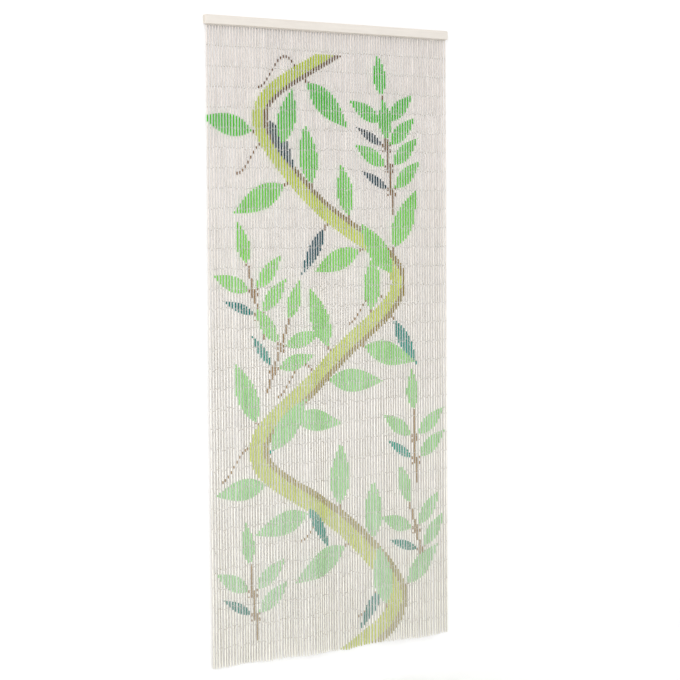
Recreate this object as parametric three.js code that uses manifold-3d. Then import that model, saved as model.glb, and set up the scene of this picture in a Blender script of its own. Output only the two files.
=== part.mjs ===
// Bead door curtain: a wooden head rail with strands of bamboo beads hanging from its underside.
// Millimetres, +Z up, +X along the rail, -Y towards the viewer.
// The origin is the centre of the rail's back face, which is fixed to a door frame.

import * as THREE from "three";
import { mergeVertices } from "three/addons/utils/BufferGeometryUtils.js";
import Module from "manifold-3d";

// Driving dimensions
const RAIL_LENGTH = 906;
const RAIL_HEIGHT = 28;
const RAIL_DEPTH = 15;
const RAIL_EDGE_RADIUS = 3;
const RAIL_END_ROUND = 2;
const CURTAIN_HEIGHT = 2000;
const STRAND_COUNT = 90;
const STRAND_PITCH = 10;
const STRAND_SIDE = 3.8;
const STRIP_DEPTH = 6;
const STRIP_HEIGHT = 2;
const SEAT_GAP = 0.3;

// Steps of the curved faces, and the distance under which two corners are one
const EDGE_STEPS = 3;
const END_STEPS = 2;
const STRAND_STEPS = 8;
const CORNER_TOLERANCE = 1e-4;

// Hem: how much lower than level the strands end, at places along the rail
const HEM = [
  { across: -445, lower: 5.5 },
  { across: -390, lower: 5.0 },
  { across: -320, lower: 1.5 },
  { across: -240, lower: 4.0 },
  { across: -180, lower: 1.0 },
  { across: -110, lower: 7.0 },
  { across: -20, lower: 3.0 },
  { across: 50, lower: 7.0 },
  { across: 110, lower: 1.0 },
  { across: 180, lower: -2.0 },
  { across: 250, lower: -1.5 },
  { across: 340, lower: 2.5 },
  { across: 445, lower: -2.0 },
];

// Unevenness of the hang: waves along the rail that lean the foot of a strand or bow its middle
const LEAN_ACROSS = [
  { amplitude: 2.2, wavelength: 310, phase: 3.9 },
  { amplitude: 1.3, wavelength: 127, phase: 5.2 },
];
const LEAN_DEPTH = [
  { amplitude: 4.0, wavelength: 420, phase: 0.4 },
  { amplitude: 1.8, wavelength: 150, phase: 1.7 },
];
const BOW_ACROSS = [
  { amplitude: 0.9, wavelength: 230, phase: 4.1 },
  { amplitude: 0.6, wavelength: 90, phase: 0.2 },
];
const BOW_DEPTH = [{ amplitude: 1.5, wavelength: 360, phase: 2.2 }];
const LEAN_POWER = 1.4;

// Scatter of single strands about those waves
const LEAN_SCATTER = 1.2;
const BOW_SCATTER = 0.5;
const DEPTH_SCATTER = 1.2;
const END_SCATTER = 1.5;
const SCATTER_STEP = { strand: 12.9898, series: 78.233 };
const SCATTER_GAIN = 43758.5453;

// Places worked out from the sizes
const STRAND_PLANE = -RAIL_DEPTH / 2;
const RAIL_UNDERSIDE = -RAIL_HEIGHT / 2;
const STRIP_CENTRE = RAIL_UNDERSIDE - SEAT_GAP - STRIP_HEIGHT / 2;
const STRAND_DROP = CURTAIN_HEIGHT - RAIL_HEIGHT / 2 + STRIP_CENTRE;
const STRIP_LENGTH = (STRAND_COUNT - 1) * STRAND_PITCH + STRIP_DEPTH;

const PAINTED_WOOD = new THREE.MeshStandardMaterial({
  color: 0xe6e1d6,
  roughness: 0.6,
  metalness: 0,
});
const PAINTED_BAMBOO = new THREE.MeshStandardMaterial({
  color: 0xe0d9d0,
  roughness: 0.5,
  metalness: 0,
});

const wasm = await Module();
wasm.setup();

// A repeatable scatter from -1 to 1 for a strand, with one series for each use
function scatter(strand, series) {
  const angle = strand * SCATTER_STEP.strand + series * SCATTER_STEP.series;
  const wave = SCATTER_GAIN * Math.sin(angle);
  return 2 * (wave - Math.floor(wave)) - 1;
}

function sumOfWaves(waves, across) {
  return waves.reduce(
    (sum, w) =>
      sum + w.amplitude * Math.sin((2 * Math.PI * across) / w.wavelength + w.phase),
    0,
  );
}

function hemLower(across) {
  const next = Math.max(1, HEM.findIndex((row) => row.across >= across));
  const before = HEM[next - 1];
  const after = HEM[next];
  const share = (across - before.across) / (after.across - before.across);
  return THREE.MathUtils.lerp(before.lower, after.lower, share);
}

// The centre line of one strand, from its root in the strip to its foot
class StrandCurve extends THREE.Curve {
  constructor(strand) {
    super();
    this.across = (strand - (STRAND_COUNT - 1) / 2) * STRAND_PITCH;
    this.drop = STRAND_DROP + hemLower(this.across) + END_SCATTER * scatter(strand, 1);
    this.leanAcross = sumOfWaves(LEAN_ACROSS, this.across) + LEAN_SCATTER * scatter(strand, 2);
    this.leanDepth = sumOfWaves(LEAN_DEPTH, this.across) + DEPTH_SCATTER * scatter(strand, 3);
    this.bowAcross = sumOfWaves(BOW_ACROSS, this.across) + BOW_SCATTER * scatter(strand, 4);
    this.bowDepth = sumOfWaves(BOW_DEPTH, this.across);
  }

  getPoint(share, target = new THREE.Vector3()) {
    const lean = share ** LEAN_POWER;
    const bow = Math.sin(Math.PI * share);
    return target.set(
      this.across + lean * this.leanAcross + bow * this.bowAcross,
      STRAND_PLANE + lean * this.leanDepth + bow * this.bowDepth,
      STRIP_CENTRE - share * this.drop,
    );
  }
}

function solidFrom(geometry) {
  const bare = geometry.clone();
  bare.deleteAttribute("normal");
  bare.deleteAttribute("uv");
  const merged = mergeVertices(bare, CORNER_TOLERANCE);
  const mesh = new wasm.Mesh({
    numProp: 3,
    vertProperties: merged.attributes.position.array,
    triVerts: new Uint32Array(merged.index.array),
  });
  return new wasm.Manifold(mesh);
}

function geometryFrom(solid) {
  const mesh = solid.getMesh();
  const geometry = new THREE.BufferGeometry();
  geometry.setAttribute("position", new THREE.BufferAttribute(mesh.vertProperties, 3));
  geometry.setIndex(new THREE.BufferAttribute(mesh.triVerts, 1));
  geometry.computeVertexNormals();
  return geometry;
}

function roundedRectangle(width, height, radius) {
  const right = width / 2;
  const top = height / 2;
  const shape = new THREE.Shape();
  shape.moveTo(radius - right, -top);
  shape.lineTo(right - radius, -top);
  shape.absarc(right - radius, radius - top, radius, -Math.PI / 2, 0);
  shape.lineTo(right, top - radius);
  shape.absarc(right - radius, top - radius, radius, 0, Math.PI / 2);
  shape.lineTo(radius - right, top);
  shape.absarc(radius - right, top - radius, radius, Math.PI / 2, Math.PI);
  shape.lineTo(-right, radius - top);
  shape.absarc(radius - right, radius - top, radius, Math.PI, 1.5 * Math.PI);
  return shape;
}

// Head rail: a batten with softened long edges and ends, lying along X
function makeHeadRail() {
  const section = roundedRectangle(RAIL_DEPTH, RAIL_HEIGHT, RAIL_EDGE_RADIUS);
  const geometry = new THREE.ExtrudeGeometry(section, {
    depth: RAIL_LENGTH - 2 * RAIL_END_ROUND,
    curveSegments: EDGE_STEPS,
    bevelThickness: RAIL_END_ROUND,
    bevelSize: RAIL_END_ROUND,
    bevelOffset: -RAIL_END_ROUND,
    bevelSegments: END_STEPS,
  });
  const rail = new THREE.Mesh(geometry, PAINTED_WOOD);
  rail.name = "head_rail";
  const depthAxis = new THREE.Vector3(0, 1, 0);
  const heightAxis = new THREE.Vector3(0, 0, 1);
  const lengthAxis = new THREE.Vector3(1, 0, 0);
  const turn = new THREE.Matrix4().makeBasis(depthAxis, heightAxis, lengthAxis);
  rail.quaternion.setFromRotationMatrix(turn);
  rail.position.set(RAIL_END_ROUND - RAIL_LENGTH / 2, -RAIL_DEPTH / 2, 0);
  return rail;
}

// Bead strands: four-sided strings, fused at their roots into a strip under the rail
function makeBeadStrands() {
  const half = STRAND_SIDE / 2;
  const section = new THREE.Shape([
    new THREE.Vector2(-half, -half),
    new THREE.Vector2(half, -half),
    new THREE.Vector2(half, half),
    new THREE.Vector2(-half, half),
  ]);
  const strip = new THREE.BoxGeometry(STRIP_LENGTH, STRIP_DEPTH, STRIP_HEIGHT);
  strip.translate(0, STRAND_PLANE, STRIP_CENTRE);
  let joined = solidFrom(strip);
  for (let strand = 0; strand < STRAND_COUNT; strand += 1) {
    const string = new THREE.ExtrudeGeometry(section, {
      steps: STRAND_STEPS,
      bevelEnabled: false,
      extrudePath: new StrandCurve(strand),
    });
    joined = joined.add(solidFrom(string));
  }
  const strands = new THREE.Mesh(geometryFrom(joined), PAINTED_BAMBOO);
  strands.name = "bead_strands";
  return strands;
}

const curtain = new THREE.Group();
curtain.add(makeHeadRail(), makeBeadStrands());

export default curtain;
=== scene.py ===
"""Bead door curtain: a painted wooden head rail with strands of painted bamboo beads on wire.

Metres, +Z up, +X along the rail, -Y towards the viewer, origin at the centre of the rail's back face.
"""

import math

import bpy
import numpy as np
from mathutils import Matrix, Vector


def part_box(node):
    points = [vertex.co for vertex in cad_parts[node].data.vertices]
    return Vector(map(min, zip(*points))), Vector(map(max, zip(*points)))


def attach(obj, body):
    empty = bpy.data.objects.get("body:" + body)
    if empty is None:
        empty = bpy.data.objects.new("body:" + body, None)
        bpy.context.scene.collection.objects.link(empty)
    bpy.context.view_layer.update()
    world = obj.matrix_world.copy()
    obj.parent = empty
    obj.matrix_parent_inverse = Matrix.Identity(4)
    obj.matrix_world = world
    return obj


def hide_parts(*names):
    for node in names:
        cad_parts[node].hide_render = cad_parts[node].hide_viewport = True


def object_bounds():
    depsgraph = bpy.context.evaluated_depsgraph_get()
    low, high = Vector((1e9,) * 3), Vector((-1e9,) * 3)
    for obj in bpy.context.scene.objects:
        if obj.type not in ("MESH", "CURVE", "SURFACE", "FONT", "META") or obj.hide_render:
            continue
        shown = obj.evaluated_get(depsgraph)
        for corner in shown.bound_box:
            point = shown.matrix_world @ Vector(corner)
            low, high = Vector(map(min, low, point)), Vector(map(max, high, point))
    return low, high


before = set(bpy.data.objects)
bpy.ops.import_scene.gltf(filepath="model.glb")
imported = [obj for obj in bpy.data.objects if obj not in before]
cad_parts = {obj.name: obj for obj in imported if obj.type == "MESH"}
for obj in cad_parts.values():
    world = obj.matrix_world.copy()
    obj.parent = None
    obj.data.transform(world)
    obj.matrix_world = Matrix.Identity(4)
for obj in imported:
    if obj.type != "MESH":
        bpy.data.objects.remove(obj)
CAD_LOW, CAD_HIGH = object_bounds()
RAIL_LOW, RAIL_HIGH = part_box("head_rail")

MM = 0.001
TURN = 2 * math.pi

# The hang of the strands, as in the solids
STRAND_COUNT = 90
STRAND_PITCH = 10 * MM
STRIP_DEPTH = 6 * MM
STRIP_HEIGHT = 2 * MM
SEAT_GAP = 0.3 * MM
CURTAIN_HEIGHT = 2.0
STRAND_PLANE = (RAIL_LOW.y + RAIL_HIGH.y) / 2
STRIP_CENTRE = RAIL_LOW.z - SEAT_GAP - STRIP_HEIGHT / 2
STRAND_DROP = CURTAIN_HEIGHT - RAIL_HIGH.z + STRIP_CENTRE
HEM_ACROSS = MM * np.array([-445, -390, -320, -240, -180, -110, -20, 50, 110, 180, 250, 340, 445])
HEM_LOWER = MM * np.array([5.5, 5.0, 1.5, 4.0, 1.0, 7.0, 3.0, 7.0, 1.0, -2.0, -1.5, 2.5, -2.0])
# Each wave: amplitude and wavelength in millimetres, phase in radians
LEAN_ACROSS = ((2.2, 310, 3.9), (1.3, 127, 5.2))
LEAN_DEPTH = ((4.0, 420, 0.4), (1.8, 150, 1.7))
BOW_ACROSS = ((0.9, 230, 4.1), (0.6, 90, 0.2))
BOW_DEPTH = ((1.5, 360, 2.2),)
LEAN_POWER = 1.4
LEAN_SCATTER = 1.2 * MM
BOW_SCATTER = 0.5 * MM
DEPTH_SCATTER = 1.2 * MM
END_SCATTER = 1.5 * MM
SCATTER_STEP = {"strand": 12.9898, "series": 78.233}
SCATTER_GAIN = 43758.5453

# Beads and their wire
BEADS_A_STRAND = 32
BEAD_SIDES = 10
BEAD_RADIUS = 2.1 * MM
BORE_RADIUS = 1.0 * MM
BEAD_CHAMFER = 0.45 * MM
ROOT_GAP = 0.5 * MM
LINK_GAP = 1.2 * MM
WIRE_RADIUS = 0.3 * MM
WIRE_SIDES = 4
EYE_REACH = LINK_GAP / 2 + 2 * WIRE_RADIUS
EYE_HALF_WIDTH = 0.55 * MM
EYE_SHANK = 2.5 * MM
EYE_ARC_STEPS = 4
BEAD_LENGTH_SCATTER = 0.9 * MM
BEAD_RADIUS_SCATTER = 0.16 * MM
BEAD_CUT_TILT = 0.07
BEAD_TAPER = 0.02
BEAD_SWELL = 0.03
SWELL_PLACE = (0.3, 0.7)
BEAD_SHARP_EDGE = math.radians(42)
STRAND_TONE_SHARE = 0.5
STRANDS_A_PIECE = 6
STRANDS_A_LINK_PIECE = 30

# Where the ground coat is thin and the flanks and backs of the lower beads go towards raw bamboo,
# partly a thin coat and partly painted shade in the gaps between strands: the share of the drop, the
# side from front -1 to back 1, and how bare and shaded
BARE_AND_SHADE_DROP = (0.2, 0.55)
BARE_AND_SHADE_SIDE = (-0.6, 0.25)
BARE_AND_SHADE_BACK = 0.9
BARE_AND_SHADE_UNDER_PAINT = 0.3

# The bake map: the left edge and the width of each part, as shares of a strand's column
SKIN_MAP = (0.02, 0.78)
BORE_MAP = (0.84, 0.12)
WIRE_MAP = (0.05, 0.9)
MAP_REACH = LINK_GAP / 3

SEED = 20
rng = np.random.default_rng(SEED)


def linear(red, green, blue):
    """A colour given as 0 to 255 screen values, as linear light."""
    screen = np.array([red, green, blue]) / 255
    return np.where(screen <= 0.04045, screen / 12.92, ((screen + 0.055) / 1.055) ** 2.4)


# Paint colours at places down the curtain, as screen values: strong near the rail, faded to the feet
FADE_DROP = (0.1, 0.35, 0.6, 1.0)
FADE_SCREEN = {
    "ground": ((223, 215, 208), (233, 227, 220), (252, 249, 243), (247, 246, 236)),
    "leaf": ((54, 170, 0), (116, 200, 62), (154, 211, 136), (176, 210, 168)),
    "stem": ((166, 182, 0), (186, 200, 64), (195, 207, 112), (197, 205, 124)),
    "bark": ((90, 60, 10), (132, 112, 30), (160, 148, 84), (176, 170, 128)),
    "accent": ((0, 18, 28), (4, 70, 80), (30, 164, 140), (106, 140, 130)),
    "twig": ((98, 66, 26), (136, 104, 60), (160, 134, 96), (174, 160, 134)),
    "cut end": ((146, 130, 102), (156, 141, 113), (192, 180, 156), (212, 202, 180)),
}
FADE = {name: np.array([linear(*row) for row in rows]) for name, rows in FADE_SCREEN.items()}
RAW_BAMBOO = linear(168, 152, 122)
THIN_COAT = RAW_BAMBOO / FADE["ground"][0]


def faded(name, drop):
    """The paint of that name at a drop from 0 at the rail to 1 at the feet."""
    return np.array([np.interp(drop, FADE_DROP, FADE[name][:, channel]) for channel in range(3)])


# The hang
def scatter(strand, series):
    """A repeatable scatter from -1 to 1 for a strand, with one series for each use."""
    wave = SCATTER_GAIN * np.sin(strand * SCATTER_STEP["strand"] + series * SCATTER_STEP["series"])
    return 2 * (wave - np.floor(wave)) - 1


def sum_of_waves(waves, across):
    return sum(a * MM * np.sin(TURN * across / (length * MM) + phase) for a, length, phase in waves)


def strand_across(strand):
    return (strand - (STRAND_COUNT - 1) / 2) * STRAND_PITCH


def strand_drop(strand):
    lower = np.interp(strand_across(strand), HEM_ACROSS, HEM_LOWER)
    return STRAND_DROP + lower + END_SCATTER * scatter(strand, 1)


def centre_line(strand, drop):
    """The point of a strand's centre line at a drop below the root strip's centre."""
    across = strand_across(strand)
    share = drop / strand_drop(strand)
    lean = share**LEAN_POWER
    bow = math.sin(math.pi * share)
    lean_x = sum_of_waves(LEAN_ACROSS, across) + LEAN_SCATTER * scatter(strand, 2)
    lean_y = sum_of_waves(LEAN_DEPTH, across) + DEPTH_SCATTER * scatter(strand, 3)
    bow_x = sum_of_waves(BOW_ACROSS, across) + BOW_SCATTER * scatter(strand, 4)
    bow_y = sum_of_waves(BOW_DEPTH, across)
    x = across + lean * lean_x + bow * bow_x
    y = STRAND_PLANE + lean * lean_y + bow * bow_y
    return np.array([x, y, STRIP_CENTRE - drop])


# The painted design: one winding stem, with oval leaves by turns on either side of it, and leaf sprigs
PAINTS = ("ground", "stem", "bark", "leaf", "accent", "twig")
SAMPLE = 0.5 * MM
STEM_MIDDLE = -0.01
# Each swing: amplitude and wavelength in metres, phase in radians
STEM_SWINGS = ((0.245, 0.99, 2.75), (0.022, 0.37, 1.0))
STEM_TOP = 0.07
STEM_HALF_WIDTH = {"top": 0.024, "foot": 0.038}
BARK_FROM = 0.42
LEAF_SPACING = 0.088
LEAF_LENGTH = 0.190
LEAF_HALF_WIDTH = 0.035
LEAF_TAPER = 0.8
LEAF_STALK = 0.020
LEAF_MARGIN = 0.03
STALK_HALF_WIDTH = 0.005
LEAF_SPLAYS = (0.95, 1.25, 0.75, 1.10, 0.85)
LEAF_SIZE_SCATTER = 0.13
LEAF_SIZE_SERIES = 10
ACCENT_EVERY = 5
ACCENT_TURN = 3
ACCENT_LENGTH = 0.165
ACCENT_HALF_WIDTH = 0.021
ACCENT_LEAN = 0.55
SPRIGS = (
    {"base": (0.21, 0.36), "turned": 1.68},
    {"base": (0.23, 0.50), "turned": 1.68},
    {"base": (-0.27, 0.89), "turned": 1.82},
    {"base": (-0.22, 1.06), "turned": 1.23},
    {"base": (0.32, 1.38), "turned": 1.62},
    {"base": (0.34, 1.68), "turned": 1.85},
    {"base": (-0.29, 1.83), "turned": 1.69},
)
SPRIG_STEP = 0.075
SPRIG_PAIRS = 2
SPRIG_SPLAY = 0.95
SPRIG_LEAF = 0.70
TENDRIL_EVERY = 4
TENDRIL_REACH = 0.15
TENDRIL_RISE = 0.05
TENDRIL_DASH = 0.009
TENDRIL_TURN = 1.5 * math.pi


def stem_across(drop):
    return STEM_MIDDLE + sum(
        a * np.sin(TURN * drop / length + phase) for a, length, phase in STEM_SWINGS
    )


def stem_slope(drop):
    """How far the stem goes sideways for each metre down."""
    return sum(
        a * TURN / length * np.cos(TURN * drop / length + phase) for a, length, phase in STEM_SWINGS
    )


def stem_half_width(drop):
    return np.interp(drop, (0, STRAND_DROP), (STEM_HALF_WIDTH["top"], STEM_HALF_WIDTH["foot"]))


def make_leaf(paint, foot, angle, gap, size=1.0):
    """A leaf on a stalk that leaves its foot at an angle, counted from +X towards up."""
    axis = np.array([math.cos(angle), -math.sin(angle)])
    accent = paint == "accent"
    return {
        "paint": paint,
        "base": np.array(foot) + gap * axis,
        "axis": axis,
        "length": size * (ACCENT_LENGTH if accent else LEAF_LENGTH),
        "half_width": size * (ACCENT_HALF_WIDTH if accent else LEAF_HALF_WIDTH),
    }


def make_stem_leaves():
    """The leaves and tendrils along the stem, without the leaves that would reach up to the rail."""
    drops = np.arange(STEM_TOP, STRAND_DROP, SAMPLE)
    lengths = np.cumsum(SAMPLE * np.sqrt(1 + stem_slope(drops) ** 2))
    leaves, tendrils = [], []
    for place, length in enumerate(np.arange(LEAF_SPACING / 2, lengths[-1], LEAF_SPACING)):
        drop = np.interp(length, lengths, drops)
        side = 1 if place % 2 else -1
        foot = (stem_across(drop), drop)
        growth = math.atan2(1, -stem_slope(drop))
        accent = place % ACCENT_EVERY == ACCENT_TURN
        angle = growth - side * LEAF_SPLAYS[place % len(LEAF_SPLAYS)]
        if accent:
            angle = side * ACCENT_LEAN - math.pi / 2
        size = 1 + LEAF_SIZE_SCATTER * scatter(place, LEAF_SIZE_SERIES)
        gap = LEAF_STALK + stem_half_width(drop)
        leaf = make_leaf("accent" if accent else "leaf", foot, angle, gap, size)
        tip = leaf["base"] + leaf["length"] * leaf["axis"]
        if tip[1] > LEAF_MARGIN:
            leaves.append(leaf)
        if place % TENDRIL_EVERY == 1:
            tendrils.append({"base": foot, "side": -side})
    return leaves, tendrils


def make_sprig_leaves():
    """Leaves in pairs up each sprig, with one at its tip."""
    leaves = []
    for sprig in SPRIGS:
        way = np.array([math.cos(sprig["turned"]), -math.sin(sprig["turned"])])
        for pair in range(SPRIG_PAIRS + 1):
            foot = np.array(sprig["base"]) + pair * SPRIG_STEP * way
            splays = (-SPRIG_SPLAY, SPRIG_SPLAY) if pair < SPRIG_PAIRS else (0,)
            for splay in splays:
                paint = "accent" if pair == 0 and splay > 0 else "leaf"
                leaves.append(make_leaf(paint, foot, sprig["turned"] + splay, LEAF_STALK, SPRIG_LEAF))
    return leaves


LEAVES, TENDRILS = make_stem_leaves()
LEAVES += make_sprig_leaves()


def leaf_place(leaf, across, drops):
    """How far along a leaf's axis and to the side of it a strand is at each drop."""
    right, down = across - leaf["base"][0], drops - leaf["base"][1]
    along = right * leaf["axis"][0] + down * leaf["axis"][1]
    aside = down * leaf["axis"][0] - right * leaf["axis"][1]
    return along, aside


def in_leaf(leaf, across, drops):
    """Where a strand is inside a leaf: a pointed oval about its axis."""
    along, aside = leaf_place(leaf, across, drops)
    share = np.clip(along / leaf["length"], 0, 1)
    return np.abs(aside) < leaf["half_width"] * np.sin(math.pi * share**LEAF_TAPER)


def in_stalk(leaf, across, drops):
    along, aside = leaf_place(leaf, across, drops)
    return (along < 0) & (along > -2 * LEAF_STALK) & (np.abs(aside) < STALK_HALF_WIDTH)


def in_sprig(sprig, across, drops):
    right, down = across - sprig["base"][0], drops - sprig["base"][1]
    along = right * math.cos(sprig["turned"]) - down * math.sin(sprig["turned"])
    aside = right * math.sin(sprig["turned"]) + down * math.cos(sprig["turned"])
    reach = (along > -SPRIG_STEP) & (along < SPRIG_PAIRS * SPRIG_STEP)
    return reach & (np.abs(aside) < STALK_HALF_WIDTH)


def in_tendril(tendril, across, drops):
    """One dash of a tendril on each strand that it crosses."""
    reach = tendril["side"] * (across - tendril["base"][0]) / TENDRIL_REACH
    middle = tendril["base"][1] - TENDRIL_RISE * math.sin(TENDRIL_TURN * reach)
    return (0 < reach < 1) & (np.abs(drops - middle) < TENDRIL_DASH / 2)


def paint_of_strand(strand):
    """The index of the paint on a strand at each sample down it."""
    across = strand_across(strand)
    drops = np.arange(0, strand_drop(strand), SAMPLE)
    paint = np.zeros(len(drops), int)
    for tendril in TENDRILS:
        paint[in_tendril(tendril, across, drops)] = PAINTS.index("twig")
    for sprig in SPRIGS:
        paint[in_sprig(sprig, across, drops)] = PAINTS.index("twig")
    for leaf in LEAVES:
        paint[in_stalk(leaf, across, drops)] = PAINTS.index("twig")
    half = stem_half_width(drops) * np.sqrt(1 + stem_slope(drops) ** 2)
    aside = across - stem_across(drops)
    stem = (np.abs(aside) < half) & (drops > STEM_TOP)
    paint[stem] = PAINTS.index("stem")
    paint[stem & (aside > BARK_FROM * half)] = PAINTS.index("bark")
    for leaf in LEAVES:
        paint[in_leaf(leaf, across, drops)] = PAINTS.index(leaf["paint"])
    return paint


# Beads
def bead_ends(strand):
    """The drops of the top and bottom of each bead on a strand."""
    first = STRIP_HEIGHT / 2 + ROOT_GAP
    foot = strand_drop(strand) - EYE_REACH
    pitch = (foot + LINK_GAP - first) / BEADS_A_STRAND
    uneven = np.cumsum(rng.normal(0, BEAD_LENGTH_SCATTER, BEADS_A_STRAND - 1))
    joints = first + pitch * np.arange(1, BEADS_A_STRAND) + uneven
    tops = np.concatenate([[first], joints])
    bottoms = np.concatenate([joints - LINK_GAP, [foot]])
    return tops, bottoms


class MeshParts:
    """Points, faces and what they carry, gathered for one joined mesh."""

    def __init__(self):
        self.points, self.faces, self.colours, self.tones, self.maps = [], [], [], [], []
        self.count = 0

    def add_grid(self, rings, closed, colours, tone, maps):
        """A grid of quads over rings of points, with a colour for each band and side.

        Closed joins the last ring to the first.
        """
        number, sides = rings.shape[:2]
        bands = number if closed else number - 1
        ring = np.arange(bands)[:, None]
        side = np.arange(sides)[None, :]
        below = (ring + 1) % number
        after = (side + 1) % sides
        quads = np.stack([
            ring * sides + side,
            below * sides + side,
            below * sides + after,
            ring * sides + after,
        ], axis=-1)
        self.points.append(rings.reshape(-1, 3))
        self.faces.append(quads.reshape(-1, 4) + self.count)
        following = np.roll(colours, -1, axis=1)
        corners = np.stack([colours, colours, following, following], axis=2)
        self.colours.append(corners.reshape(-1, 4))
        self.tones.append(np.full(bands * sides * 4, tone))
        self.maps.append(maps.reshape(-1, 2))
        self.count += number * sides

    def build(self, name, material):
        points = np.concatenate(self.points)
        faces = np.concatenate(self.faces)
        mesh = bpy.data.meshes.new(name)
        mesh.vertices.add(len(points))
        mesh.loops.add(faces.size)
        mesh.polygons.add(len(faces))
        mesh.vertices.foreach_set("co", points.astype(np.float32).ravel())
        mesh.loops.foreach_set("vertex_index", faces.astype(np.int32).ravel())
        mesh.polygons.foreach_set("loop_start", np.arange(0, faces.size, 4, dtype=np.int32))
        mesh.update(calc_edges=True)
        paint = mesh.attributes.new("paint", "FLOAT_COLOR", "CORNER")
        paint.data.foreach_set("color", np.concatenate(self.colours).astype(np.float32).ravel())
        tone = mesh.attributes.new("tone", "FLOAT", "CORNER")
        tone.data.foreach_set("value", np.concatenate(self.tones).astype(np.float32))
        layer = mesh.uv_layers.new(name="OFBake")
        layer.data.foreach_set("uv", np.concatenate(self.maps).astype(np.float32).ravel())
        mesh.polygons.foreach_set("use_smooth", np.ones(len(faces), bool))
        mesh.set_sharp_from_angle(angle=BEAD_SHARP_EDGE)
        mesh.materials.append(material)
        mesh.validate()
        piece = bpy.data.objects.new(name, mesh)
        bpy.context.scene.collection.objects.link(piece)
        return piece


def band_map(column, columns, drops_above, drops_below, sides, left, width):
    """Corner places on the bake map: one column for each strand, with height down it."""
    around = (column + left + width * np.arange(sides + 1) / sides) / columns
    start, end = around[:-1], around[1:]
    above = 1 - drops_above[:, None] / CURTAIN_HEIGHT + 0 * start
    below = 1 - drops_below[:, None] / CURTAIN_HEIGHT + 0 * start
    start, end = start + 0 * above, end + 0 * above
    corners = [(start, above), (start, below), (end, below), (end, above)]
    return np.stack([np.stack(corner, axis=-1) for corner in corners], axis=-2)


def bare_and_shade_share(out, drop, paint):
    """How bare and shaded each side of a bead is: the flanks and backs of the lower beads go towards
    raw bamboo, partly a thin coat and partly painted shade.
    """
    lower = np.interp(drop, BARE_AND_SHADE_DROP, (0, 1))
    behind = np.interp(out[:, 1], BARE_AND_SHADE_SIDE, (0, 1))
    most = BARE_AND_SHADE_BACK if paint == "ground" else BARE_AND_SHADE_UNDER_PAINT
    return most * lower * behind


def add_bead(parts, strand, column, top, bottom, paint, strand_tone):
    """One bored tube bead with chamfered raw ends, cut into bands where its paint changes."""
    skin_top, skin_bottom = top + BEAD_CHAMFER, bottom - BEAD_CHAMFER
    first, last = int(skin_top / SAMPLE), min(int(skin_bottom / SAMPLE), len(paint) - 1)
    changes = np.flatnonzero(np.diff(paint[first : last + 1])) + first + 1
    changes = changes[(changes - first > 1) & (last - changes > 1)] * SAMPLE
    swell_at = rng.uniform(*SWELL_PLACE)
    cuts = np.sort(np.append(changes, skin_top + swell_at * (skin_bottom - skin_top)))
    skin = np.concatenate([[skin_top], cuts, [skin_bottom]])
    radius = BEAD_RADIUS + BEAD_RADIUS_SCATTER * rng.uniform(-1, 1)
    taper = rng.uniform(-BEAD_TAPER, BEAD_TAPER)
    swell = rng.uniform(0, BEAD_SWELL)
    share = (skin - skin_top) / (skin_bottom - skin_top)
    hump = 1 - np.abs(share - swell_at) / np.where(share < swell_at, swell_at, 1 - swell_at)
    skin_radius = radius * (1 + taper * (share - 0.5) + swell * hump)
    drops = np.concatenate([[top, top], skin, [bottom, bottom]])
    radii = np.concatenate([
        [BORE_RADIUS, skin_radius[0] - BEAD_CHAMFER],
        skin_radius,
        [skin_radius[-1] - BEAD_CHAMFER, BORE_RADIUS],
    ])
    upper, lower = centre_line(strand, top), centre_line(strand, bottom)
    lean = (lower - upper)[:2] / (bottom - top)
    angles = rng.uniform(0, TURN) + TURN * np.arange(BEAD_SIDES) / BEAD_SIDES
    out = np.stack([np.cos(angles), np.sin(angles)], axis=-1)
    rings = np.empty((len(drops), BEAD_SIDES, 3))
    rings[:, :, :2] = upper[:2] + (drops - top)[:, None, None] * lean + radii[:, None, None] * out
    rings[:, :, 2] = STRIP_CENTRE - drops[:, None]
    for end in (slice(0, 2), slice(-2, None)):
        tilt = rng.uniform(-BEAD_CUT_TILT, BEAD_CUT_TILT, 2)
        rings[end, :, 2] += radii[end, None] * (out @ tilt)
    middles = (skin[:-1] + skin[1:]) / 2
    tone = STRAND_TONE_SHARE * strand_tone + (1 - STRAND_TONE_SHARE) * rng.uniform(-1, 1)
    raw = np.array([*RAW_BAMBOO, 0.0])
    cut = np.tile(np.append(faded("cut end", top / STRAND_DROP), 0.0), (BEAD_SIDES, 1))
    bands = [cut, cut]
    for middle in middles:
        name = PAINTS[paint[min(int(middle / SAMPLE), len(paint) - 1)]]
        coat = np.append(faded(name, middle / STRAND_DROP), 1.0)
        # Painted shade, partly a thin coat: the flanks and backs of the lower beads are mixed towards
        # raw bamboo, which darkens the gaps between strands
        bare_and_shade = bare_and_shade_share(out, middle / STRAND_DROP, name)[:, None]
        bands.append((1 - bare_and_shade) * coat + bare_and_shade * raw)
    bands += [cut, cut, cut]
    map_drops = np.concatenate([
        [top - MAP_REACH, top - MAP_REACH / 2],
        skin,
        [bottom + MAP_REACH / 2, bottom + MAP_REACH],
    ])
    columns = STRANDS_A_PIECE
    outside = band_map(column, columns, map_drops[:-1], map_drops[1:], BEAD_SIDES, *SKIN_MAP)
    bore = band_map(column, columns, np.array([bottom]), np.array([top]), BEAD_SIDES, *BORE_MAP)
    parts.add_grid(rings, True, np.array(bands), tone, np.concatenate([outside, bore]))


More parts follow.
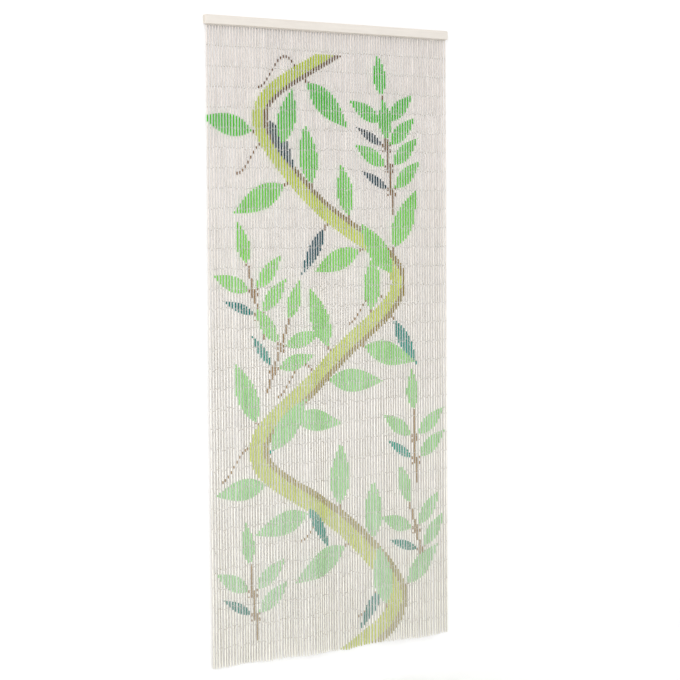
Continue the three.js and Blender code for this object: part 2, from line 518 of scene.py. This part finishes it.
def add_eye(parts, strand, column, drop, way, turned):
    """A hairpin wire eye that stands out of a bead's bore, down for way 1 or up for way -1."""
    centre = centre_line(strand, drop)
    arc = np.linspace(0, math.pi, EYE_ARC_STEPS + 1)
    arc_centre = EYE_REACH - WIRE_RADIUS - EYE_HALF_WIDTH
    aside = np.concatenate([[-1], -np.cos(arc), [1]]) * EYE_HALF_WIDTH
    along = np.concatenate([[-EYE_SHANK], arc_centre + EYE_HALF_WIDTH * np.sin(arc), [-EYE_SHANK]])
    path = centre + np.stack(
        [aside * math.cos(turned), aside * math.sin(turned), -way * along], axis=-1
    )
    flat = np.array([-math.sin(turned), math.cos(turned), 0])
    tangent = np.gradient(path, axis=0)
    tangent /= np.linalg.norm(tangent, axis=1)[:, None]
    across = np.cross(tangent, flat)
    angles = TURN * (np.arange(WIRE_SIDES) + 0.5) / WIRE_SIDES
    rings = (
        path[:, None, :]
        + WIRE_RADIUS * np.cos(angles)[None, :, None] * flat
        + WIRE_RADIUS * np.sin(angles)[None, :, None] * across[:, None, :]
    )
    if way > 0:
        rings = rings[:, ::-1]
    steps = len(path)
    spread = np.linspace(drop - EYE_SHANK, drop + EYE_SHANK, steps)
    maps = band_map(column, STRANDS_A_LINK_PIECE, spread[:-1], spread[1:], WIRE_SIDES, *WIRE_MAP)
    parts.add_grid(rings, False, np.ones((steps - 1, WIRE_SIDES, 4)), 0.0, maps)


def add_strand(bead_parts, link_parts, strand):
    paint = paint_of_strand(strand)
    tops, bottoms = bead_ends(strand)
    tone = rng.uniform(-1, 1)
    turned = rng.uniform(0, math.pi)
    bead_column, link_column = strand % STRANDS_A_PIECE, strand % STRANDS_A_LINK_PIECE
    add_eye(link_parts, strand, link_column, STRIP_HEIGHT / 2, 1, turned)
    for top, bottom in zip(tops, bottoms):
        add_bead(bead_parts, strand, bead_column, top, bottom, paint, tone)
        add_eye(link_parts, strand, link_column, bottom, 1, turned)
    for top in tops[1:]:
        add_eye(link_parts, strand, link_column, top, -1, turned + math.pi / 2)


# Materials: noise grains are counts to the metre along X, Y and Z, and colours are linear light
NOISE_SPAN = (0.3, 0.7)

FIBRE_GRAIN = (900, 900, 24)
COAT_GRAIN = (60, 60, 30)
THIN_GRAIN = (1500, 1500, 45)
THIN_SPAN = (0.58, 0.70)
THIN_MOST = 0.5
FIBRE_VALUE = (0.87, 1.07)
COAT_VALUE = (0.94, 1.05)
TONE_VALUE = (0.90, 1.08)
RAW_VALUE = (0.75, 1.15)
RAW_ROUGHNESS = (0.72, 0.86)
PAINT_SMOOTHING = 0.28
FIBRE_BUMP = (0.35, 0.15 * MM)
BEAD_SPECULAR = 0.12

WIRE_GRAIN = (400, 400, 400)
WIRE_DULL = (0.50, 0.49, 0.47, 1)
WIRE_BRIGHT = (0.66, 0.65, 0.63, 1)
WIRE_ROUGHNESS = (0.55, 0.35)
WIRE_BUMP = (0.2, 0.05 * MM)

WOOD_GRAIN = (7, 260, 260)
BRUSH_GRAIN = (3, 900, 900)
PATCH_GRAIN = (9, 40, 40)
CREAM_DEEP = (0.69, 0.645, 0.59, 1)
CREAM_PALE = (0.72, 0.675, 0.62, 1)
BARE_WOOD = (0.55, 0.47, 0.35, 1)
EDGE_WEAR = 0.45
WOOD_VALUE = (0.96, 1.02)
BRUSH_VALUE = (0.97, 1.02)
RAIL_ROUGHNESS = (0.62, 0.48)
RAIL_BUMP = (0.3, 0.2 * MM)

STAGE_GRAIN = (2, 2, 2)
STAGE_DEEP = (0.92, 0.92, 0.92, 1)
STAGE_PALE = (0.95, 0.95, 0.95, 1)
STAGE_ROUGHNESS = (0.85, 0.95)


class Look:
    """One material's node tree, built with short calls."""

    def __init__(self, name):
        self.material = bpy.data.materials.new(name)
        self.material.use_nodes = True
        self.tree = self.material.node_tree
        self.shader = self.tree.nodes["Principled BSDF"]
        self.place = self.add("ShaderNodeTexCoord").outputs["Object"]

    def add(self, kind, inputs=(), **settings):
        made = self.tree.nodes.new(kind)
        for key, value in settings.items():
            setattr(made, key, value)
        for key, value in dict(inputs).items():
            self.feed(made.inputs[key], value)
        return made

    def feed(self, socket, value):
        if isinstance(value, bpy.types.NodeSocket):
            self.tree.links.new(value, socket)
        else:
            socket.default_value = value

    def noise(self, stretch, detail=3.0, rough=0.55):
        """Noise over the object, with so many grains to the metre along X, Y and Z."""
        moved = self.add("ShaderNodeMapping", {"Vector": self.place, "Scale": stretch})
        wanted = {"Vector": moved.outputs["Vector"], "Scale": 1.0, "Detail": detail, "Roughness": rough}
        return self.add("ShaderNodeTexNoise", wanted).outputs["Fac"]

    def span(self, value, low, high, start=NOISE_SPAN[0], end=NOISE_SPAN[1]):
        """Maps a noise's usual span to low and high."""
        wanted = {"Value": value, "From Min": start, "From Max": end, "To Min": low, "To Max": high}
        return self.add("ShaderNodeMapRange", wanted, clamp=True).outputs["Result"]

    def maths(self, operation, first, second):
        made = self.add("ShaderNodeMath", {0: first, 1: second}, operation=operation)
        return made.outputs["Value"]

    def mix(self, share, first, second, blend="MIX"):
        made = self.add("ShaderNodeMix", data_type="RGBA", blend_type=blend)
        for key, value in (("Factor_Float", share), ("A_Color", first), ("B_Color", second)):
            socket = next(s for s in made.inputs if s.identifier == key)
            self.feed(socket, value)
        return next(s for s in made.outputs if s.identifier == "Result_Color")

    def brighten(self, colour, by):
        return self.add("ShaderNodeHueSaturation", {"Color": colour, "Value": by}).outputs["Color"]

    def bump(self, height, strength, distance):
        wanted = {"Height": height, "Strength": strength, "Distance": distance}
        self.feed(self.shader.inputs["Normal"], self.add("ShaderNodeBump", wanted).outputs["Normal"])

    def finish(self, colour, roughness):
        self.feed(self.shader.inputs["Base Color"], colour)
        self.feed(self.shader.inputs["Roughness"], roughness)
        return self.material


def bead_look():
    """Satin paint over bamboo: fibre streaks, uneven and thin coats, and raw cut ends."""
    look = Look("bead_paint")
    paint = look.add("ShaderNodeAttribute", attribute_name="paint")
    tone = look.add("ShaderNodeAttribute", attribute_name="tone").outputs["Fac"]
    fibre = look.noise(FIBRE_GRAIN, detail=4)
    coat = look.noise(COAT_GRAIN, detail=2)
    thin = look.noise(THIN_GRAIN, detail=3)
    streak = look.span(fibre, *FIBRE_VALUE)
    uneven = look.span(coat, *COAT_VALUE)
    by_bead = look.span(tone, *TONE_VALUE, start=-1, end=1)
    value = look.maths("MULTIPLY", look.maths("MULTIPLY", streak, uneven), by_bead)
    coated = look.brighten(paint.outputs["Color"], value)
    thinned = look.span(thin, 0.0, THIN_MOST, *THIN_SPAN)
    painted = look.mix(thinned, coated, (*THIN_COAT, 1), blend="MULTIPLY")
    raw = look.brighten(paint.outputs["Color"], look.span(fibre, *RAW_VALUE))
    colour = look.mix(paint.outputs["Alpha"], raw, painted)
    smoother = look.maths("MULTIPLY", paint.outputs["Alpha"], PAINT_SMOOTHING)
    rough = look.maths("SUBTRACT", look.span(coat, *RAW_ROUGHNESS), smoother)
    look.bump(fibre, *FIBRE_BUMP)
    look.shader.inputs["Specular IOR Level"].default_value = BEAD_SPECULAR
    return look.finish(colour, rough)


def wire_look():
    """Dull galvanised wire with a little tarnish."""
    look = Look("bead_wire")
    tarnish = look.noise(WIRE_GRAIN)
    colour = look.mix(look.span(tarnish, 0, 1), WIRE_DULL, WIRE_BRIGHT)
    look.shader.inputs["Metallic"].default_value = 1.0
    look.bump(tarnish, *WIRE_BUMP)
    return look.finish(colour, look.span(tarnish, *WIRE_ROUGHNESS))


def rail_look():
    """Cream paint brushed along a planed batten, with grain under it and thin edges."""
    look = Look("rail_paint")
    grain = look.noise(WOOD_GRAIN, detail=5, rough=0.6)
    brush = look.noise(BRUSH_GRAIN, detail=2)
    patch = look.noise(PATCH_GRAIN, detail=2)
    edge = look.add("ShaderNodeAttribute", attribute_name="edge").outputs["Fac"]
    cream = look.mix(look.span(patch, 0, 1), CREAM_DEEP, CREAM_PALE)
    thin = look.maths("MULTIPLY", edge, look.span(grain, 0.0, EDGE_WEAR))
    worn = look.mix(thin, cream, BARE_WOOD)
    value = look.maths("MULTIPLY", look.span(grain, *WOOD_VALUE), look.span(brush, *BRUSH_VALUE))
    look.bump(look.maths("ADD", grain, brush), *RAIL_BUMP)
    return look.finish(look.brighten(worn, value), look.span(grain, *RAIL_ROUGHNESS))


# Rail and root strip
RAIL_EDGE_RADIUS = 3 * MM
RAIL_END_ROUND = 2 * MM
EDGE_STEPS = 6
END_STEPS = 5
LEAST_CORNER = 0.3
BAY = 25 * MM
PLANE_MARKS = 0.08 * MM
# Each wave of the plane marks: wavelength in metres, phase in radians
PLANE_WAVES = ((0.41, 0.0), (0.173, 1.0))
RAIL_SHARP_EDGE = math.radians(40)
STRIP_EDGE_RADIUS = 0.4 * MM
STRIP_END_ROUND = 0.3 * MM


def rounded_section(depth, height, radius):
    """Points round a rectangle with rounded corners, and how near each is to a corner's middle."""
    places, edges = [], []
    for corner in range(4):
        middle = (corner + 0.5) * math.pi / 2
        sign = (math.copysign(1, math.cos(middle)), math.copysign(1, math.sin(middle)))
        for step in range(EDGE_STEPS + 1):
            angle = (corner + step / EDGE_STEPS) * math.pi / 2
            y = sign[0] * (depth / 2 - radius) + radius * math.cos(angle)
            z = sign[1] * (height / 2 - radius) + radius * math.sin(angle)
            places.append((y, z))
            edges.append(math.sin(math.pi * step / EDGE_STEPS))
    return np.array(places), np.array(edges)


def make_batten(name, low, high, radius, end_round, marks, material):
    """A bar along X with rounded long edges and ends, and slight marks of the plane."""
    length, depth, height = high - low
    middle = (low + high) / 2
    arc = np.linspace(0, math.pi / 2, END_STEPS)
    inset = end_round * (1 - np.sin(arc))
    start = low.x + end_round * (1 - np.cos(arc))
    bays = np.linspace(low.x + end_round, high.x - end_round, max(2, round(length / BAY)))[1:-1]
    places = np.concatenate([start, bays, (low.x + high.x) - start[::-1]])
    insets = np.concatenate([inset, np.zeros(len(bays)), inset[::-1]])
    rings, edges = [], []
    for x, taken in zip(places, insets):
        corner = max(radius - taken, LEAST_CORNER * radius)
        section, edge = rounded_section(depth - 2 * taken, height - 2 * taken, corner)
        wave = marks * sum(math.sin(TURN * x / wavelength + phase) for wavelength, phase in PLANE_WAVES)
        front = np.where(section[:, 0] < 0, 1.0, 0.0)
        ring = np.empty((len(section), 3))
        ring[:, 0] = x
        ring[:, 1] = middle.y + section[:, 0] + front * abs(wave)
        ring[:, 2] = middle.z + section[:, 1]
        rings.append(ring)
        edges.append(np.maximum(edge, taken / end_round))
    rings = np.array(rings)
    sides = rings.shape[1]
    points = rings.reshape(-1, 3)
    faces = []
    for ring in range(len(rings) - 1):
        here, beyond = ring * sides, (ring + 1) * sides
        for side in range(sides):
            after = (side + 1) % sides
            faces.append((here + side, here + after, beyond + after, beyond + side))
    faces.append(tuple(range(sides))[::-1])
    faces.append(tuple((len(rings) - 1) * sides + side for side in range(sides)))
    mesh = bpy.data.meshes.new(name)
    mesh.from_pydata(points.tolist(), [], faces)
    attribute = mesh.attributes.new("edge", "FLOAT", "POINT")
    attribute.data.foreach_set("value", np.concatenate(edges).astype(np.float32))
    mesh.polygons.foreach_set("use_smooth", np.ones(len(faces), bool))
    mesh.set_sharp_from_angle(angle=RAIL_SHARP_EDGE)
    mesh.materials.append(material)
    mesh.update()
    piece = bpy.data.objects.new(name, mesh)
    bpy.context.scene.collection.objects.link(piece)
    return piece


def make_rail():
    material = rail_look()
    rail = make_batten(
        "rail_batten", RAIL_LOW, RAIL_HIGH, RAIL_EDGE_RADIUS, RAIL_END_ROUND, PLANE_MARKS, material
    )
    half_length = (STRAND_COUNT - 1) * STRAND_PITCH / 2 + STRIP_DEPTH / 2
    half = Vector((half_length, STRIP_DEPTH / 2, STRIP_HEIGHT / 2))
    middle = Vector((0, STRAND_PLANE, STRIP_CENTRE))
    strip = make_batten(
        "root_strip", middle - half, middle + half, STRIP_EDGE_RADIUS, STRIP_END_ROUND, 0, material
    )
    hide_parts("head_rail")
    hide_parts("bead_strands")
    for piece in (rail, strip):
        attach(piece, "root")


def make_strands():
    paint, wire = bead_look(), wire_look()
    bead_parts, link_parts = MeshParts(), MeshParts()
    for strand in range(STRAND_COUNT):
        add_strand(bead_parts, link_parts, strand)
        if (strand + 1) % STRANDS_A_PIECE == 0:
            beads = bead_parts.build(f"beads_{strand // STRANDS_A_PIECE + 1:02d}", paint)
            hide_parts("bead_strands")
            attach(beads, "root")
            bead_parts = MeshParts()
        if (strand + 1) % STRANDS_A_LINK_PIECE == 0:
            links = link_parts.build(f"wire_links_{strand // STRANDS_A_LINK_PIECE + 1}", wire)
            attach(links, "root")
            link_parts = MeshParts()


# Stage, light and camera
FLOOR_BELOW = 0.10
ROOM_LIGHT = 1.10
KEY_PLACE = (-3.4, -3.2, 1.8)
KEY_AIM = (0, 0, -0.6)
KEY_SIZE = 1.6
KEY_POWER = 55
STAGE_SIZE = 80.0
WALL_GAP = 1 * MM
SLOT_INSET = 4 * MM
PHOTO_PIXELS = 680
FOCAL_PIXELS = 1808
SENSOR = 36.0
CAMERA_PLACE = Vector((-3.092, -4.8635, -0.690))
CAMERA_YAW = math.radians(32.71)
CAMERA_PITCH = math.radians(2.97)
CAMERA_ROLL = math.radians(-0.43)


def make_stage_piece(name, points, faces, material):
    mesh = bpy.data.meshes.new(name)
    mesh.from_pydata(points, [], faces)
    mesh.materials.append(material)
    piece = bpy.data.objects.new(name, mesh)
    bpy.context.scene.collection.objects.link(piece)


def stage_look(name):
    """Matt white with faint cloudiness, and clear from behind, where it would hide the curtain."""
    look = Look(name)
    soft = look.noise(STAGE_GRAIN)
    colour = look.mix(look.span(soft, 0, 1), STAGE_DEEP, STAGE_PALE)
    look.finish(colour, look.span(soft, *STAGE_ROUGHNESS))
    behind = look.add("ShaderNodeNewGeometry").outputs["Backfacing"]
    clear = look.add("ShaderNodeBsdfTransparent").outputs["BSDF"]
    wanted = {0: behind, 1: look.shader.outputs["BSDF"], 2: clear}
    surface = look.add("ShaderNodeMixShader", wanted).outputs["Shader"]
    look.feed(look.tree.nodes["Material Output"].inputs["Surface"], surface)
    return look.material


def make_floor():
    half, level = STAGE_SIZE / 2, CAD_LOW.z - FLOOR_BELOW
    points = [(-half, -half, level), (half, -half, level), (half, half, level), (-half, half, level)]
    make_stage_piece("floor", points, [(0, 1, 2, 3)], stage_look("pale_floor"))


def make_wall():
    """The wall behind the rail, with a slot that lets light on to the rail's back."""
    half, level = STAGE_SIZE / 2, CAD_LOW.z - FLOOR_BELOW
    back = RAIL_HIGH.y + WALL_GAP
    left, right = RAIL_LOW.x + SLOT_INSET, RAIL_HIGH.x - SLOT_INSET
    under, over = RAIL_LOW.z + SLOT_INSET, RAIL_HIGH.z - SLOT_INSET
    outer = [(-half, back, level), (half, back, level), (half, back, half), (-half, back, half)]
    slot = [(left, back, under), (right, back, under), (right, back, over), (left, back, over)]
    corners = len(outer)
    faces = [
        (corner, (corner + 1) % corners, corners + (corner + 1) % corners, corners + corner)
        for corner in range(corners)
    ]
    make_stage_piece("wall", outer + slot, faces, stage_look("pale_wall"))


def make_light(name, place, aim, size, power):
    data = bpy.data.lights.new(name, "AREA")
    data.shape = "DISK"
    data.size = size
    data.energy = power
    light = bpy.data.objects.new(name, data)
    light.location = place
    light.rotation_euler = (Vector(aim) - Vector(place)).to_track_quat("-Z", "Y").to_euler()
    bpy.context.scene.collection.objects.link(light)


def make_world():
    """A white studio with even light all round."""
    world = bpy.data.worlds.new("studio")
    world.use_nodes = True
    background = world.node_tree.nodes["Background"]
    background.inputs["Color"].default_value = (1, 1, 1, 1)
    background.inputs["Strength"].default_value = ROOM_LIGHT
    bpy.context.scene.world = world


def make_lights():
    make_world()
    make_light("key", KEY_PLACE, KEY_AIM, KEY_SIZE, KEY_POWER)
    bpy.context.scene.view_settings.view_transform = "Standard"


def make_camera():
    forward = Vector((
        math.sin(CAMERA_YAW) * math.cos(CAMERA_PITCH),
        math.cos(CAMERA_YAW) * math.cos(CAMERA_PITCH),
        -math.sin(CAMERA_PITCH),
    ))
    level = Vector((math.cos(CAMERA_YAW), -math.sin(CAMERA_YAW), 0))
    upright = level.cross(forward)
    right = math.cos(CAMERA_ROLL) * level + math.sin(CAMERA_ROLL) * upright
    up = math.cos(CAMERA_ROLL) * upright - math.sin(CAMERA_ROLL) * level
    data = bpy.data.cameras.new("camera")
    data.sensor_width = SENSOR
    data.lens = FOCAL_PIXELS / PHOTO_PIXELS * SENSOR
    camera = bpy.data.objects.new("camera", data)
    turn = Matrix((right, up, -forward)).transposed().to_4x4()
    camera.matrix_world = Matrix.Translation(CAMERA_PLACE) @ turn
    bpy.context.scene.collection.objects.link(camera)
    bpy.context.scene.camera = camera


make_camera()
make_floor()
make_wall()
make_lights()
make_rail()
make_strands()
